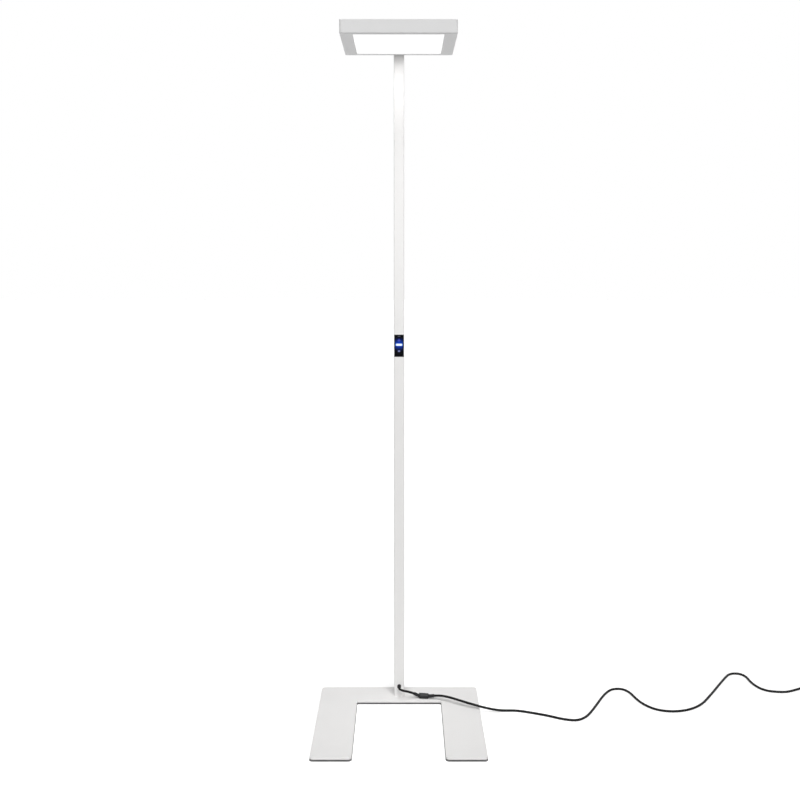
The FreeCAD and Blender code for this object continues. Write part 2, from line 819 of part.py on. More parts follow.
def make_cover():
    """Make the head's top cover, the posts under it and its screws."""
    margin = head_wall + cover_gap
    cover = block((-head_width / 2 + margin, head_width / 2 - margin),
                  (head_front + margin, head_back - margin), (cover_bottom, head_top))
    cover = rounded(cover, head_corner_radius - head_wall)
    posts = []
    screws = []
    for x in (-post_x, post_x):
        for y in (post_front_y, post_back_y):
            top = Vector(x, y, head_top)
            cover = cover.cut(sunk_hole(top, Vector(0, 0, -1), m3_shank, m3_sunk_head,
                                        cover_thickness))
            post = rod(Vector(x, y, shell_floor), Vector(0, 0, 1), post_radius,
                       cover_bottom - shell_floor)
            posts.append(post.cut(rod(Vector(x, y, cover_bottom), Vector(0, 0, -1),
                                      m3_shank + thread_clearance, post_bore_depth)))
            screws.append(sunk_screw(top, Vector(0, 0, -1), m3_shank, m3_sunk_head,
                                     cover_thickness + cover_screw_bite))
    for index in range(vent_count):
        x = driver_offset_x + (index - (vent_count - 1) / 2) * vent_pitch
        slot = centred_block(x, driver_y, vent_width, vent_length, (cover_bottom, head_top))
        cover = cover.cut(rounded(slot, vent_corner_radius))
    return {"top_cover": cover, "cover_posts": group(posts), "cover_screws": group(screws)}


def make_head_mounting():
    """Make what clamps the head to the stem, and the grommet round the lead."""
    spacer_half = stem_side / 2
    spacer = block((-spacer_half, spacer_half), (head_back, stem_front),
                   (head_underside + spacer_plate_margin, head_top - spacer_plate_margin))
    spacer = spacer.cut(lead_passage(head_back, stem_front))
    backing = centred_block(0, (backing_front + head_back - head_wall) / 2, backing_width,
                            backing_thickness,
                            (head_lead_z - backing_height / 2, head_lead_z + backing_height / 2))
    backing = backing.cut(lead_passage(backing_front, head_back - head_wall))
    block_z = (head_lead_z - block_height / 2, min(head_lead_z + block_height / 2, stem_top))
    nut_block = rounded(centred_block(0, stem_y, insert_side, insert_side, block_z),
                        insert_corner_radius)
    hollow_half = insert_side / 2 - block_side_wall
    nut_block = nut_block.cut(block((-hollow_half, hollow_half),
                                    (insert_front + block_front_wall, insert_back + 1), block_z))
    nut_block = nut_block.cut(lead_passage(insert_front, insert_front + block_front_wall))
    length = insert_front + head_screw_engagement - backing_front
    screws = []
    for x, z in head_screw_places():
        seat = Vector(x, backing_front, z)
        backing = backing.cut(rod(seat, Vector(0, 1, 0), m4_shank + hole_clearance, backing_thickness))
        spacer = spacer.cut(rod(Vector(x, head_back, z), Vector(0, 1, 0),
                                m4_shank + hole_clearance, spacer_plate_thickness))
        nut_block = nut_block.cut(rod(Vector(x, insert_front, z), Vector(0, 1, 0),
                                      m4_shank + thread_clearance, block_front_wall))
        screws.append(cap_screw(seat, Vector(0, 1, 0), m4_shank, m4_head, m4_head_height, length))
    sleeve_radius = lead_radius + grommet_wall
    sleeve_length = stem_front + stem_wall - backing_front
    grommet = rod(Vector(0, backing_front, head_lead_z), Vector(0, 1, 0), sleeve_radius,
                  sleeve_length)
    grommet = grommet.fuse(rod(Vector(0, backing_front - grommet_flange, head_lead_z),
                               Vector(0, 1, 0), sleeve_radius + grommet_flange, grommet_flange))
    grommet = grommet.cut(rod(Vector(0, backing_front - grommet_flange, head_lead_z),
                              Vector(0, 1, 0), lead_radius + thread_clearance,
                              sleeve_length + grommet_flange))
    return {"head_spacer": spacer, "head_backing": backing, "head_nut_block": nut_block,
            "head_screws": group(screws), "lead_grommet": grommet}


# Tubes along a route

def arc_edge(start, corner, end):
    """Return the arc that is tangent to the two lines from start and end to the corner."""
    toward_start = (start - corner).normalize()
    toward_end = (end - corner).normalize()
    half = toward_start.getAngle(toward_end) / 2
    reach = (start - corner).Length
    radius = reach * math.tan(half)
    inward = (toward_start + toward_end).normalize()
    centre = corner + inward * (reach / math.cos(half))
    return Part.Arc(start, centre - inward * radius, end).toShape(), radius


def route_tube(points, radius, fixed_radius=None):
    """Return a tube along straight runs joined by tangent arcs, its arcs' radii and its length."""
    edges = []
    radii = []
    last = points[0]
    for before, point, after in zip(points, points[1:], points[2:]):
        run_in = (point - before).Length
        run_out = (after - point).Length
        back = (before - point).normalize()
        ahead = (after - point).normalize()
        half_turn = (math.pi - back.getAngle(ahead)) / 2
        reach = bend_share * min(run_in, run_out)
        if fixed_radius is not None:
            reach = fixed_radius * math.tan(half_turn)
        start = point + back * reach
        end = point + ahead * reach
        edge, arc_radius = arc_edge(start, point, end)
        edges.append(Part.LineSegment(last, start).toShape())
        edges.append(edge)
        radii.append(arc_radius)
        last = end
    edges.append(Part.LineSegment(last, points[-1]).toShape())
    return swept(edges, radius), radii, sum(edge.Length for edge in edges)


def swept(edges, radius):
    """Return the solid that a circle sweeps along a chain of edges."""
    path = Part.Wire(edges)
    first = edges[0]
    start = first.valueAt(first.FirstParameter)
    direction = first.tangentAt(first.FirstParameter)
    section = Part.Wire(Part.makeCircle(radius, start, direction))
    return path.makePipeShell([section], True, False)


def report_tube(name, solid, radius, radii, length):
    """Print a tube's bends and how its volume compares with section times length."""
    share = solid.Volume / (math.pi * radius ** 2 * length)
    bends = ", ".join("%.0f" % value for value in radii)
    print("%s: length %.0f mm, volume share %.4f, radii %s" % (name, length, share, bends))


# Leads inside the stem

def make_inner_leads():
    """Make the lead from the gland up to the board, and the one from the board to the head."""
    gland_end = stem_front + gland_body_length
    lower_bend = lead_y - gland_end
    connector_low = module_z - connector_offset - connector_height / 2
    connector_high = module_z + connector_offset + connector_height / 2
    lower_points = [Vector(0, gland_end, gland_height), Vector(0, lead_y, gland_height),
                    Vector(0, lead_y, connector_low)]
    lower = route_tube(lower_points, lead_radius, fixed_radius=lower_bend - foot_lead_straight)
    upper_points = [Vector(0, lead_y, connector_high), Vector(0, lead_y, head_lead_z),
                    Vector(0, terminal_back, head_lead_z)]
    upper = route_tube(upper_points, lead_radius, fixed_radius=head_lead_bend)
    report_tube("lower_lead", lower[0], lead_radius, *lower[1:])
    report_tube("upper_lead", upper[0], lead_radius, *upper[1:])
    return {"lower_lead": lower[0], "upper_lead": upper[0]}


# Cord and what is on it: the points of its routes are chosen by hand

gland_tip_y = stem_front - gland_flange_thickness - gland_nose_length
coupler_z = plate_top + coupler_diameter / 2
coupler_left_tip = Vector(46, 149.4, 26.6)
coupler_left_root = Vector(59.5, 152.1, coupler_z)
coupler_right_root = Vector(91.5, 149.2, coupler_z)
coupler_right_tip = Vector(105.1, 143.3, 22.3)
lifted_cord = cord_radius + tie_thickness + tie_gap

tail_route = [
    Vector(0, gland_tip_y, gland_height), Vector(0, 144.6, gland_height),
    Vector(12, 135.6, 41), Vector(29, 142.4, 35.2), coupler_left_tip]

supply_route = [
    coupler_right_tip, Vector(122, 138.5, 25.3), Vector(145, 125.4, 26.9),
    Vector(176, 102, 26.7), Vector(206, 85.6, 24.4), Vector(240, 68.6, 20.5),
    Vector(272, 68.9, 13), Vector(306, 79, 4.5),
    Vector(349, 80, 3.5), Vector(392, 68, 3.5), Vector(435, 46, 3.5), Vector(479, 19, 3.5),
    Vector(519, 9, 3.5), Vector(550, 36, 3.5), Vector(574, 78, 3.5), Vector(599, 131, 3.5),
    Vector(622, 177, 3.5), Vector(641, 216, 3.5), Vector(663, 240, 3.5), Vector(696, 240, 3.5),
    Vector(718, 216, 3.5), Vector(721, 172, 3.5), Vector(736, 126, 3.5), Vector(767, 81, 3.5),
    Vector(820, 73, 3.5), Vector(871, 87, 3.5), Vector(915, 128, 3.5), Vector(947, 175, 3.5),
    Vector(982, 230, 3.5), Vector(1012, 279, 3.5), Vector(1043, 332, 3.5),
    Vector(1063, 362, 3.5), Vector(1097, 365, 3.5), Vector(1121, 340, 3.5),
    Vector(1114, 284, 3.5), Vector(1134, 227, 3.5), Vector(1191, 213, 3.5),
    Vector(1226, 228, 3.5), Vector(1263, 248, lifted_cord), Vector(1293, 266, lifted_cord)]

coil_heading = (supply_route[-1] - supply_route[-2]).normalize()


def biarc(start, start_way, end, end_way):
    """Return two tangent arcs between two points with given directions."""
    span = end - start
    ways = start_way + end_way
    a = ways.dot(ways) - 4
    b = -2 * span.dot(ways)
    c = span.dot(span)
    if abs(a) < same_place ** 2:
        reach = c / -b
    else:
        reach = (-b - math.sqrt(b * b - 4 * a * c)) / (2 * a)
    first_corner = start + start_way * reach
    second_corner = end - end_way * reach
    middle = (first_corner + second_corner) / 2
    return [arc_edge(start, first_corner, middle)[0], arc_edge(middle, second_corner, end)[0]]


def coil_edges():
    """Return the coil's path, its middle, its end and the end's heading.

    It spirals in on the lower layer, climbs a layer in one half turn, and spirals
    out again on the upper one, clockwise as seen from above.
    """
    up = Vector(0, 0, 1)
    start = supply_route[-1]
    heading = coil_heading
    point = start + heading * cord_diameter
    middle = point + heading.cross(up) * coil_outer_radius
    edges = [Part.LineSegment(start, point).toShape()]
    radius = coil_outer_radius
    half_pitch = coil_pitch / 2
    steps = [-half_pitch] * coil_half_turns_in + [0.0] + [half_pitch] * coil_half_turns_out
    for step in steps:
        climb = coil_layer_height if step == 0 else 0.0
        inward = heading.cross(up)
        end = point + inward * (2 * radius + step) + up * climb
        radius = radius + step
        edges += biarc(point, heading, end, heading * -1)
        point = end
        heading = heading * -1
    end = point + heading * cord_diameter
    edges.append(Part.LineSegment(point, end).toShape())
    return edges, middle, end, heading


def least_gap(edges, diameter):
    """Return the least distance between the surfaces of turns that pass each other."""
    points = []
    for edge in edges:
        count = max(2, int(edge.Length / gap_point_spacing))
        points += edge.discretize(count)[:-1]
    skip = int(gap_skip_diameters * diameter / gap_point_spacing)
    nearest = min((points[i] - points[j]).Length
                  for i in range(len(points)) for j in range(i + skip, len(points)))
    return nearest - diameter


def make_gland():
    """Return the strain relief in the stem's front wall: flange, short nose and snap body."""
    front = Vector(0, stem_front, gland_height)
    forward = Vector(0, -1, 0)
    back = Vector(0, 1, 0)
    flange_front = stem_front - gland_flange_thickness
    flange = rounded(upright(gland_height, gland_flange_width, gland_flange_height,
                             (flange_front, stem_front)), gland_flange_corner, back)
    rim = [edge for edge in flange.Edges if abs(edge.BoundBox.YMax - flange_front) < same_place]
    flange = flange.makeFillet(gland_rim_round, rim)
    nose = taper(front + forward * gland_flange_thickness, forward, gland_nose_radius,
                 gland_tip_radius, gland_nose_length)
    body = rod(front, back, gland_body_radius, gland_body_length)
    barb = taper(front + back * (stem_wall + hole_clearance), back, gland_body_radius + gland_barb,
                 gland_body_radius, gland_body_length - stem_wall - hole_clearance)
    return flange.fuse([nose, body, barb]).removeSplitter()


def boot(root, tip, outward):
    """Return a bend relief: a short collar out of the coupler, then a ribbed taper to a ring."""
    way = (tip - root).normalize()
    length = (tip - root).Length
    collar = rod(root - outward * boot_collar_length, outward, boot_root_radius,
                 boot_collar_length)
    knuckle = Part.makeSphere(boot_root_radius, root)
    shape = collar.fuse([knuckle, taper(root, way, boot_root_radius, boot_tip_radius, length)])
    pitch = (length - boot_root_radius) / (boot_ring_count + 1)
    for index in range(boot_ring_count):
        reach = boot_root_radius + pitch * (index + 0.5)
        radius = boot_root_radius - (boot_root_radius - boot_tip_radius) * reach / length
        shape = shape.fuse(rod(root + way * reach, way, radius + boot_ring_rise, boot_ring_width))
    return shape.fuse(rod(tip - way * boot_tip_ring_width, way, boot_tip_radius + boot_tip_ring_rise,
                          boot_tip_ring_width))


def coupler_half(face, root, tip):
    """Return one half of the coupler: a round body with a chamfered end, and its boot."""
    outward = (root - face).normalize()
    radius = coupler_diameter / 2
    straight = (root - face).Length - coupler_chamfer
    body = rod(face, outward, radius, straight)
    end = taper(face + outward * straight, outward, radius, radius - coupler_chamfer,
                coupler_chamfer)
    return body.fuse([end, boot(root, tip, outward)]).removeSplitter()


def make_coupler():
    """Make the in-line coupler: a plug half whose flush latch reaches over the socket half."""
    face = (coupler_left_root + coupler_right_root) / 2
    along = (coupler_right_root - coupler_left_root).normalize()
    top = coupler_diameter / 2
    underside = top - latch_thickness
    foot = latch_length / 3
    half_width = latch_width / 2
    latch = block((-latch_length, foot), (-half_width, half_width), (underside, top))
    riser = block((-latch_length + foot, -foot), (-half_width, half_width),
                  (coupler_diameter / 4, underside))
    latch = latch.fuse(riser)
    half_recess = half_width + latch_gap
    recess = block((-latch_length - latch_gap, foot + latch_gap), (-half_recess, half_recess),
                   (underside - latch_gap, top + latch_gap))
    for shape in (latch, recess):
        shape.rotate(Vector(0, 0, 0), Vector(0, 0, 1), math.degrees(math.atan2(along.y, along.x)))
        shape.translate(face)
    plug_half = coupler_half(face, coupler_left_root, coupler_left_tip).cut(recess)
    socket_half = coupler_half(face, coupler_right_root, coupler_right_tip).cut(recess)
    return {"coupler_plug": plug_half.fuse(latch).removeSplitter(), "coupler_socket": socket_half}


def make_plug(entry, way):
    """Make the two-pin plug that lies flat on the floor at the cord's far end."""
    relief = taper(Vector(0, 0, 0), Vector(1, 0, 0), plug_relief_tip_radius,
                   plug_relief_radius, plug_relief_length)
    start = plug_relief_length
    shoulder = start + plug_taper_length
    end = start + plug_length
    half_nose = plug_nose_width / 2
    half_width = plug_width / 2
    points = [Vector(start, -half_nose, 0), Vector(shoulder, -half_width, 0),
              Vector(end, -half_width, 0), Vector(end, half_width, 0),
              Vector(shoulder, half_width, 0), Vector(start, half_nose, 0)]
    outline = Part.Face(Part.makePolygon(points + points[:1]))
    body = outline.extrude(Vector(0, 0, plug_height)).translated(Vector(0, 0, -plug_height / 2))
    body = body.makeFillet(plug_round, body.Edges)
    pins = []
    for y in (-pin_spacing / 2, pin_spacing / 2):
        pin = rod(Vector(end, y, 0), Vector(1, 0, 0), pin_radius, pin_length)
        rim = [edge for edge in pin.Edges if edge.BoundBox.XMin > end + same_place]
        pins.append(pin.makeFillet(pin_tip_radius, rim))
    turn = FreeCAD.Rotation(Vector(1, 0, 0), way)
    placement = FreeCAD.Placement(entry, turn)
    plug = body.fuse(relief).removeSplitter()
    plug.Placement = placement
    pin_group = group(pins)
    pin_group.Placement = placement
    return {"mains_plug": plug, "plug_pins": pin_group}


def make_tie(middle):
    """Return the strap round the coil's turns, on the side away from the cord's entry."""
    innermost = coil_outer_radius - coil_half_turns_in * coil_pitch / 2 - cord_radius
    low = innermost - tie_side_gap
    high = coil_outer_radius + cord_radius + tie_side_gap
    top = lifted_cord + coil_layer_height + cord_radius + tie_gap
    outside = block((low - tie_thickness, high + tie_thickness),
                    (-tie_width / 2, tie_width / 2), (0, top + tie_thickness))
    inside = block((low, high), (-tie_width / 2, tie_width / 2), (tie_thickness, top))
    lengthwise = Vector(0, 1, 0)
    band = rounded(outside, tie_corner_radius + tie_thickness, lengthwise)
    band = band.cut(rounded(inside, tie_corner_radius, lengthwise))
    away = coil_heading.cross(Vector(0, 0, 1))
    band.rotate(Vector(0, 0, 0), Vector(0, 0, 1), math.degrees(math.atan2(away.y, away.x)))
    band.translate(Vector(middle.x, middle.y, 0))
    return band


def cord_end_route(start, heading):
    """Return the route from the coil's end, down and round beside the coil to the plug.

    Each point is how far ahead of the coil's end, how far to its right, and its height.
    """
    right = heading.cross(Vector(0, 0, 1))
    places = ((22, 0, start.z), (45, 6, 8.5), (64, 20, plug_axis_z), (72, 42, plug_axis_z))
    return [start] + [start + heading * ahead + right * aside + Vector(0, 0, height - start.z)
                      for ahead, aside, height in places]


def make_cord():
    """Make the gland, the cord's free stretches, its coil, the coupler and the plug."""
    pieces = {"cord_gland": make_gland()}
    pieces.update(make_coupler())
    for name, points in (("cord_tail", tail_route), ("supply_cord", supply_route)):
        solid, radii, length = route_tube(points, cord_radius)
        report_tube(name, solid, cord_radius, radii, length)
        pieces[name] = solid
    edges, middle, coil_end, heading = coil_edges()
    coil = swept(edges, cord_radius)
    coil_length = sum(edge.Length for edge in edges)
    report_tube("cord_coil", coil, cord_radius, [], coil_length)
    print("cord_coil: least gap to itself %.2f mm, ends at %s heading %s"
          % (least_gap(edges, cord_diameter), coil_end, heading))
    pieces["cord_coil"] = coil
    pieces["coil_tie"] = make_tie(middle)
    end_route = cord_end_route(coil_end, heading)
    solid, radii, length = route_tube(end_route, cord_radius)
    report_tube("cord_end", solid, cord_radius, radii, length)
    pieces["cord_end"] = solid
    pieces.update(make_plug(end_route[-1], (end_route[-1] - end_route[-2]).normalize()))
    return pieces


def main():
    """Build every piece and write one STEP file for each."""
    os.makedirs("parts", exist_ok=True)
    pieces = {}
    pieces.update(make_base())
    pieces.update(make_stem())
    pieces.update(make_control_unit())
    pieces["head_shell"] = make_shell()
    pieces.update(make_light_source())
    pieces.update(make_electrics())
    pieces.update(make_cover())
    pieces.update(make_head_mounting())
    pieces.update(make_inner_leads())
    pieces.update(make_cord())
    for name, shape in pieces.items():
        solids = shape.Solids
        if not shape.isValid() or not solids:
            print("check %s: valid %s, solids %d" % (name, shape.isValid(), len(solids)))
        shape.exportStep("parts/%s.step" % name)
    print("%d nodes" % len(pieces))


if __name__ == "__main__":
    main()
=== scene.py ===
"""The looks of the LED floor lamp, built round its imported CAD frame.

Metres, in the frame's own axes: +Z up, and the lamp faces -Y. The frame's nodes keep
their shapes and get finishes; the cords, the key marks, the floor, the lights and the
camera are made here.
"""
import logging
import math
from dataclasses import dataclass, field
from enum import Enum

import bmesh
import bpy
from mathutils import Matrix, Vector


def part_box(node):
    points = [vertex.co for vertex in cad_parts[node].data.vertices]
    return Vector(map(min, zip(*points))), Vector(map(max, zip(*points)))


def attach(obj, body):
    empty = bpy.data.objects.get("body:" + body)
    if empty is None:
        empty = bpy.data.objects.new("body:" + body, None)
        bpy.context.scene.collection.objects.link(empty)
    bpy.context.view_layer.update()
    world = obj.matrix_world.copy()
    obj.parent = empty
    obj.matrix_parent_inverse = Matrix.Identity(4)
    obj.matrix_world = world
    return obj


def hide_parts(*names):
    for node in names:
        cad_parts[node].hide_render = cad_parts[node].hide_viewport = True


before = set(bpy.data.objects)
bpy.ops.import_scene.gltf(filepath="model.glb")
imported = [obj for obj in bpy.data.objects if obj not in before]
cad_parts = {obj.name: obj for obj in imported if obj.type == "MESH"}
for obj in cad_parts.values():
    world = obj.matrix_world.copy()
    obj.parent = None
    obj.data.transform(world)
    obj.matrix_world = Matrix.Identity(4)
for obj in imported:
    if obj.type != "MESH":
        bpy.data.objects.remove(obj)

LOG = logging.getLogger("led_floor_lamp")
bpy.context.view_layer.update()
MM = 0.001
FACING_DOWN = -0.9
SAME_PLANE = 1e-7
SCREEN_KNEE = 0.04045
SCREEN_SLOPE = 12.92
SCREEN_OFFSET = 0.055
SCREEN_POWER = 2.4

Colour = tuple[float, float, float]
WHITE: Colour = (1.0, 1.0, 1.0)


def linear(red: int, green: int, blue: int) -> Colour:
    """Turn a colour as a screen shows it, 0 to 255, into the renderer's linear one.

    Args:
        red: red as shown.
        green: green as shown.
        blue: blue as shown.

    Returns:
        The three linear values.
    """
    def one(value: int) -> float:
        """Turn one channel, by the screens' usual curve."""
        share = value / 255
        if share <= SCREEN_KNEE:
            return share / SCREEN_SLOPE
        return ((share + SCREEN_OFFSET) / (1 + SCREEN_OFFSET)) ** SCREEN_POWER
    return one(red), one(green), one(blue)


class Recipe:
    """One material's node tree, with short ways to add nodes and join them."""

    def __init__(self, name: str) -> None:
        """Start a material that has only its principled shader.

        Args:
            name: the material's name.
        """
        self.material = bpy.data.materials.new(name)
        self.material.use_nodes = True
        self.tree = self.material.node_tree
        self.shader = self.tree.nodes["Principled BSDF"]

    def add(self, kind: str, values: dict | None = None, **settings: object) -> bpy.types.Node:
        """Add a node.

        Args:
            kind: the node's type, without its ShaderNode prefix.
            values: input sockets to set, by name or index.
            settings: the node's own properties.

        Returns:
            The new node.
        """
        node = self.tree.nodes.new("ShaderNode" + kind)
        for name, value in settings.items():
            setattr(node, name, value)
        for name, value in (values or {}).items():
            node.inputs[name].default_value = value
        return node

    def join(self, source: bpy.types.NodeSocket, target: bpy.types.NodeSocket) -> None:
        """Link one socket to another."""
        self.tree.links.new(source, target)

    def place(self) -> bpy.types.NodeSocket:
        """Return the piece's own coordinates."""
        return self.add("TexCoord").outputs["Object"]

    def noise(self, size: float, detail: float = 2.0,
              stretch: tuple[float, float, float] | None = None) -> bpy.types.NodeSocket:
        """Add a noise pattern on the piece's own coordinates.

        Args:
            size: how large one patch is, in metres.
            detail: how many finer layers it has.
            stretch: how much finer it is along each axis.

        Returns:
            The pattern's value, 0 to 1.
        """
        pattern = self.add("TexNoise", {"Scale": 1 / size, "Detail": detail})
        coordinates = self.place()
        if stretch:
            mapping = self.add("Mapping", {"Scale": stretch})
            self.join(coordinates, mapping.inputs["Vector"])
            coordinates = mapping.outputs["Vector"]
        self.join(coordinates, pattern.inputs["Vector"])
        return pattern.outputs["Fac"]

    def between(self, value: bpy.types.NodeSocket, low: float, high: float,
                start: float = 0.3, end: float = 0.7) -> bpy.types.NodeSocket:
        """Spread a pattern's value over a range.

        Args:
            value: the pattern.
            low: what it becomes at start.
            high: what it becomes at end.
            start: the pattern's low end.
            end: the pattern's high end.

        Returns:
            The spread value.
        """
        spread = self.add("MapRange", {"From Min": start, "From Max": end,
                                       "To Min": low, "To Max": high})
        self.join(value, spread.inputs["Value"])
        return spread.outputs["Result"]

    def distance(self, centre: tuple[float, float, float],
                 scale: tuple[float, float, float]) -> bpy.types.NodeSocket:
        """Measure how far each point lies from a centre, with each axis scaled.

        Args:
            centre: the centre, in the piece's own coordinates.
            scale: what each axis counts, 0 to leave it out.

        Returns:
            The scaled distance.
        """
        offset = self.add("VectorMath", {1: centre}, operation="SUBTRACT")
        self.join(self.place(), offset.inputs[0])
        scaled = self.add("VectorMath", {1: scale}, operation="MULTIPLY")
        self.join(offset.outputs["Vector"], scaled.inputs[0])
        length = self.add("VectorMath", operation="LENGTH")
        self.join(scaled.outputs["Vector"], length.inputs[0])
        return length.outputs["Value"]

    def tint(self, value: bpy.types.NodeSocket, first: Colour, second: Colour) -> None:
        """Colour the surface between two near colours by a pattern.

        Args:
            value: the pattern.
            first: the colour where the pattern is 0.
            second: the colour where it is 1.
        """
        mix = self.add("Mix", data_type="RGBA")
        mix.inputs["A"].default_value = (*first, 1.0)
        mix.inputs["B"].default_value = (*second, 1.0)
        self.join(value, mix.inputs["Factor"])
        self.join(mix.outputs["Result"], self.shader.inputs["Base Color"])

    def roughen(self, value: bpy.types.NodeSocket, low: float, high: float) -> None:
        """Vary the surface's roughness by a pattern."""
        self.join(self.between(value, low, high), self.shader.inputs["Roughness"])

    def emboss(self, value: bpy.types.NodeSocket, height: float, strength: float = 1.0) -> None:
        """Give the surface a fine relief.

        Args:
            value: the pattern that raises it.
            height: the relief's real height, in metres.
            strength: how much of it shows.
        """
        bump = self.add("Bump", {"Strength": strength, "Distance": height})
        self.join(value, bump.inputs["Height"])
        self.join(bump.outputs["Normal"], self.shader.inputs["Normal"])

    def glow(self, colour: Colour, strength: bpy.types.NodeSocket | float) -> None:
        """Let the surface shine in one colour, evenly or by a pattern.

        Args:
            colour: the light's colour.
            strength: how bright it is, or the pattern that says so.
        """
        self.shader.inputs["Emission Color"].default_value = (*colour, 1.0)
        if isinstance(strength, float):
            self.shader.inputs["Emission Strength"].default_value = strength
        else:
            self.join(strength, self.shader.inputs["Emission Strength"])


def shade(colour: Colour, share: float) -> Colour:
    """Return a colour made lighter or darker by a share."""
    return tuple(min(1.0, channel * share) for channel in colour)


def seen_directly(tree: bpy.types.NodeTree) -> bpy.types.NodeSocket:
    """Tell rays that show a surface to the camera, also by way of metal or glass.

    Args:
        tree: the material's or the world's nodes, which the test is added to.

    Returns:
        1 for such a ray, 0 for any other.
    """
    path = tree.nodes.new("ShaderNodeLightPath")
    seen = path.outputs["Is Camera Ray"]
    for kind in ("Is Glossy Ray", "Is Transmission Ray"):
        either = tree.nodes.new("ShaderNodeMath")
        either.operation = "MAXIMUM"
        tree.links.new(seen, either.inputs[0])
        tree.links.new(path.outputs[kind], either.inputs[1])
        seen = either.outputs["Value"]
    return seen


@dataclass(frozen=True)
class PowderCoat:
    """Baked powder paint on steel: matte, with a fine orange-peel relief."""

    name: str
    colour: Colour
    roughness: float = 0.48
    spread: float = 0.05
    cloud: float = 90 * MM
    cloud_shade: float = 0.985
    grain: float = 1.3 * MM
    relief: float = 0.02 * MM
    gloss: float = 0.25

    def make(self) -> bpy.types.Material:
        """Make the finish.

        Returns:
            The material.
        """
        recipe = Recipe(self.name)
        clouds = recipe.noise(self.cloud, detail=3.0)
        recipe.tint(recipe.between(clouds, 0.0, 1.0), self.colour,
                    shade(self.colour, self.cloud_shade))
        grain = recipe.noise(self.grain, detail=2.0)
        recipe.roughen(grain, self.roughness - self.spread, self.roughness + self.spread)
        recipe.emboss(grain, self.relief)
        recipe.shader.inputs["Specular IOR Level"].default_value = self.gloss
        return recipe.material


@dataclass(frozen=True)
class MouldedPlastic:
    """Moulded plastic with a fine spark-eroded grain."""

    name: str
    colour: Colour
    roughness: float = 0.45
    patch: float = 20 * MM
    patch_shade: float = 1.12
    grain: float = 0.35 * MM
    relief: float = 0.012 * MM
    gloss: float = 0.5
    smoother: float = 0.06
    rougher: float = 0.08

    def make(self) -> bpy.types.Material:
        """Make the finish.

        Returns:
            The material.
        """
        recipe = Recipe(self.name)
        patches = recipe.noise(self.patch, detail=2.0)
        recipe.tint(recipe.between(patches, 0.0, 1.0), self.colour,
                    shade(self.colour, self.patch_shade))
        grain = recipe.noise(self.grain, detail=3.0)
        recipe.roughen(grain, self.roughness - self.smoother, self.roughness + self.rougher)
        recipe.emboss(grain, self.relief)
        recipe.shader.inputs["Specular IOR Level"].default_value = self.gloss
        return recipe.material


@dataclass(frozen=True)
class WorkedMetal:
    """Plain metal with the lines of drawing or milling along one axis."""

    name: str
    colour: Colour
    roughness: float = 0.32
    smoother: float = 0.08
    rougher: float = 0.1
    patch: float = 15 * MM
    patch_shade: float = 0.9
    line: float = 0.5 * MM
    stretch: tuple[float, float, float] = (1.0, 1.0, 0.04)
    relief: float = 0.004 * MM

    def make(self) -> bpy.types.Material:
        """Make the finish.

        Returns:
            The material.
        """
        recipe = Recipe(self.name)
        lines = recipe.noise(self.line, detail=3.0, stretch=self.stretch)
        patches = recipe.noise(self.patch, detail=2.0)
        recipe.tint(recipe.between(patches, 0.0, 1.0), self.colour,
                    shade(self.colour, self.patch_shade))
        recipe.roughen(lines, self.roughness - self.smoother, self.roughness + self.rougher)
        recipe.emboss(lines, self.relief)
        recipe.shader.inputs["Metallic"].default_value = 1.0
        return recipe.material


@dataclass(frozen=True)
class BlackWithPaintedGlow:
    """Black moulding with a painted glow: emission that fades with distance from the light bar, in
    place of the bar's light spreading over it.
    """

    name: str
    colour: Colour
    glow: Colour
    bar_height: float
    near: float = 3 * MM
    reach: float = 23 * MM
    rise: float = 1.5 * MM
    flatten: float = 0.85
    fall: float = 2.2
    strength: float = 1.0
    roughness: float = 0.3
    smoother: float = 0.04
    rougher: float = 0.06
    grain: float = 0.5 * MM
    grain_shade: float = 1.25
    relief: float = 0.003 * MM
    gloss: float = 0.04

    def make(self) -> bpy.types.Material:
        """Make the finish.

        Returns:
            The material.
        """
        recipe = Recipe(self.name)
        grain = recipe.noise(self.grain, detail=2.0)
        recipe.tint(recipe.between(grain, 0.0, 1.0), self.colour,
                    shade(self.colour, self.grain_shade))
        recipe.roughen(grain, self.roughness - self.smoother, self.roughness + self.rougher)
        recipe.emboss(grain, self.relief)
        # Painted glow: the emission strength falls off with distance from just above the light bar.
        distance = recipe.distance((0.0, 0.0, self.bar_height + self.rise),
                                   (self.flatten, 0.0, 1.0))
        fade = recipe.between(distance, 1.0, 0.0, self.near, self.reach)
        curve = recipe.add("Math", {1: self.fall}, operation="POWER")
        recipe.join(fade, curve.inputs[0])
        level = recipe.add("Math", {1: self.strength}, operation="MULTIPLY")
        recipe.join(curve.outputs["Value"], level.inputs[0])
        recipe.glow(self.glow, level.outputs["Value"])
        recipe.shader.inputs["Specular IOR Level"].default_value = self.gloss
        return recipe.material


